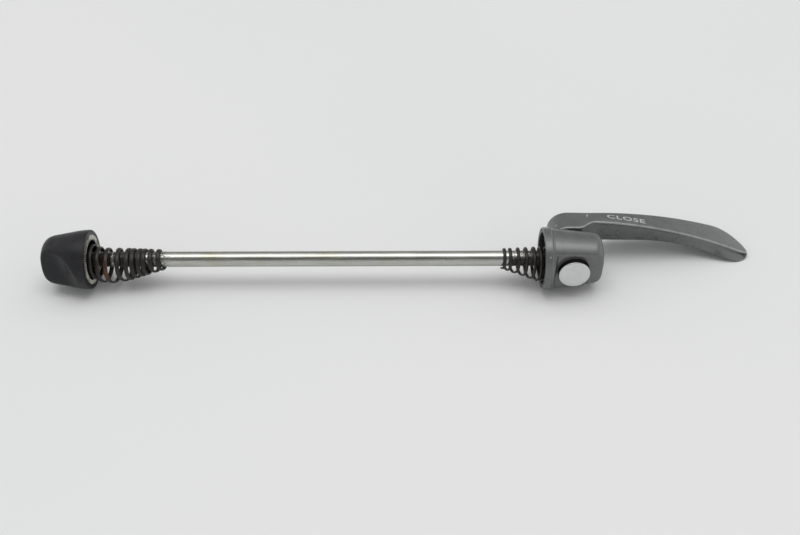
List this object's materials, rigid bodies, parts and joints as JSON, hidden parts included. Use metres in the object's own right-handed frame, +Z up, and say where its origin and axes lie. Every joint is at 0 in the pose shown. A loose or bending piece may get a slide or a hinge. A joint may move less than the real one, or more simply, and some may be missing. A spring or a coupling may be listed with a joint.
{
  "type": "quick release skewer",
  "caption": "Bicycle wheel skewer: a slim steel rod with a curved cam lever on a toothed head, a toothed adjusting nut, and conical springs that centre the wheel in the frame.",
  "frame": {"origin": "on the rod's axis, in the plane of the head's clamping rim", "axes": "+X along the rod from the nut towards the lever, +Y to the side the lever is on, +Z up as the skewer lies on a table"},
  "size_m": [0.2319, 0.0327, 0.02],
  "materials": {
    "head_paint": "satin grey paint on cast aluminium",
    "lever_paint": "satin grey paint on forged aluminium, worn at the edges",
    "rod_steel": "zinc plated, greasy, with faint stains",
    "shaft_steel": "polished, turned end face",
    "spring_wire": "black oxide wire with patches of rust",
    "cap_black": "satin black moulding, scuffed",
    "core_steel": "dull plated steel, greasy recess",
    "nylon": "natural nylon"
  },
  "bodies": {
    "head": {"head_body": "head_paint"},
    "lever": {"lever": "lever_paint", "cam_shaft": "shaft_steel"},
    "rod": {"rod": "rod_steel"},
    "head_spring": {"head_spring": "spring_wire"},
    "nut_carrier": {"nut_lock_ring": "nylon"},
    "nut": {"nut_cap": "cap_black", "nut_core": "core_steel"},
    "nut_spring": {"nut_spring": "spring_wire"}
  },
  "joints": [
    {"name": "lever_swing", "type": "hinge", "parent": "head", "child": "lever", "pos_m": [0.0095, 0, 0], "axis": [0, 1, 0], "range_deg": [-90, 90]},
    {"name": "rod_draw", "type": "slide", "parent": "head", "child": "rod", "axis": [1, 0, 0], "range_m": [-0.001, 0.001]},
    {"name": "head_spring_slide", "type": "slide", "parent": "head", "child": "head_spring", "axis": [1, 0, 0], "range_m": [-0.045, 0]},
    {"name": "nut_travel", "type": "slide", "parent": "rod", "child": "nut_carrier", "axis": [1, 0, 0], "range_m": [-0.0072, 0.01]},
    {"name": "nut_turn", "type": "hinge", "parent": "nut_carrier", "child": "nut", "pos_m": [-0.15, 0, 0], "axis": [1, 0, 0], "range_deg": [-3240, 4500]},
    {"name": "nut_spring_slide", "type": "slide", "parent": "nut_carrier", "child": "nut_spring", "axis": [1, 0, 0], "range_m": [0, 0.045]}
  ],
  "couplings": [
    {"joint": "rod_draw", "follows": "lever_swing", "m_per_rad": 0.00063662},
    {"joint": "nut_travel", "follows": "nut_turn", "m_per_rad": 0.00012732}
  ]
}
